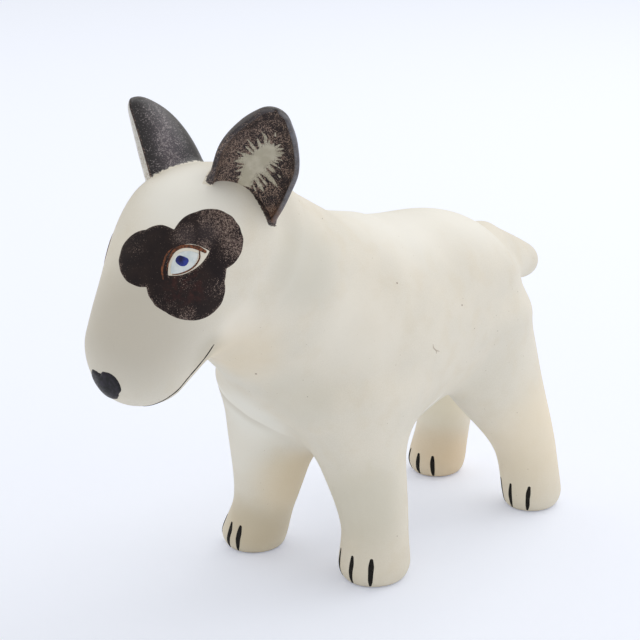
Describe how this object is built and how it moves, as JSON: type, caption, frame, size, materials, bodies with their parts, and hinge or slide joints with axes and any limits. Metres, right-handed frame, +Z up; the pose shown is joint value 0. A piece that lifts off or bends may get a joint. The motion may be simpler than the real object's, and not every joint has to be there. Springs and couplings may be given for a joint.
{
  "type": "dog figurine",
  "caption": "Standing bull terrier figurine in matt cream stoneware, with a dark lobed patch round its left eye, dark ears and a black nose.",
  "frame": {"origin": "middle of the bounding box, on the plane that the paws stand on", "axes": "+Z up; the dog looks along -Y; +X is the dog's left side"},
  "size_m": [0.0522, 0.1528, 0.125],
  "materials": {
    "clay": "matt",
    "patch": "satin",
    "ear": "satin",
    "pale": "matt",
    "eyeball": "gloss",
    "iris": "gloss",
    "black": "satin"
  },
  "bodies": {
    "root": {"trunk": "clay", "head": "clay", "tail": "clay", "front_left_leg": "clay", "front_right_leg": "clay", "rear_left_leg": "clay", "rear_right_leg": "clay", "left_ear": "ear", "left_ear_pale_patch": "pale", "left_eyeball": "eyeball", "left_iris": "iris", "right_ear": "ear", "right_ear_pale_patch": "pale", "right_eyeball": "eyeball", "right_iris": "iris", "eye_patch": "patch", "nose": "black", "mouth_line": "black", "front_left_toe_right": "black", "front_left_toe_middle": "black", "front_left_toe_left": "black", "front_right_toe_right": "black", "front_right_toe_middle": "black", "front_right_toe_left": "black", "rear_left_toe_right": "black", "rear_left_toe_middle": "black", "rear_left_toe_left": "black", "rear_right_toe_right": "black", "rear_right_toe_middle": "black", "rear_right_toe_left": "black"}
  },
  "joints": []
}
